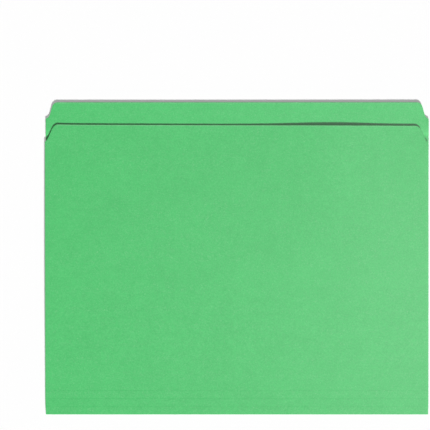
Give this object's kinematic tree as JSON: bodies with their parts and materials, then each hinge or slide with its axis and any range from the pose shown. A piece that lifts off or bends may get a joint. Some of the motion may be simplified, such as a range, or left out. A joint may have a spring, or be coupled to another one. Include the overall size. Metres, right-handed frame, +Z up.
{
  "type": "file folder",
  "caption": "Closed letter-size file folder of creased green card: back panel with full-width tab, front flap, scored gusset strips by the fold, doubled top edges.",
  "frame": {"origin": "middle of the closed folder's footprint, on the outer face of the back panel, which lies on the table", "axes": "+X along the fold, +Y from the fold to the tab, +Z up through the closed folder from the back panel to the front flap"},
  "size_m": [0.2954, 0.2406, 0.0034],
  "materials": {
    "card": "calendered card stock dyed green right through, fine fibre mottle, soft sheen",
    "crease": "the same card pressed along a crease, a little smoother and darker",
    "ply": "the same card turned over to the inside and glued, a little rougher"
  },
  "bodies": {
    "back": {"back_panel": "card", "tab_hem": "ply"},
    "gusset": {"fold_crease": "crease", "gusset_strip_1": "card", "score_crease_1": "crease", "gusset_strip_2": "card", "score_crease_2": "crease", "gusset_strip_3": "card", "score_crease_3": "crease"},
    "cover": {"front_flap": "card", "flap_hem": "ply"}
  },
  "joints": [
    {"name": "cover_open", "type": "hinge", "parent": "back", "child": "gusset", "pos_m": [0, -0.11982, 0.00043], "axis": [1, 0, 0], "range_deg": [0, 178]},
    {"name": "score_3_lift", "type": "hinge", "parent": "gusset", "child": "cover", "pos_m": [0, -0.10166, 0.00107], "axis": [-1, 0, 0], "range_deg": [-150, 0], "stiffness_Nm_per_rad": 0.06}
  ]
}
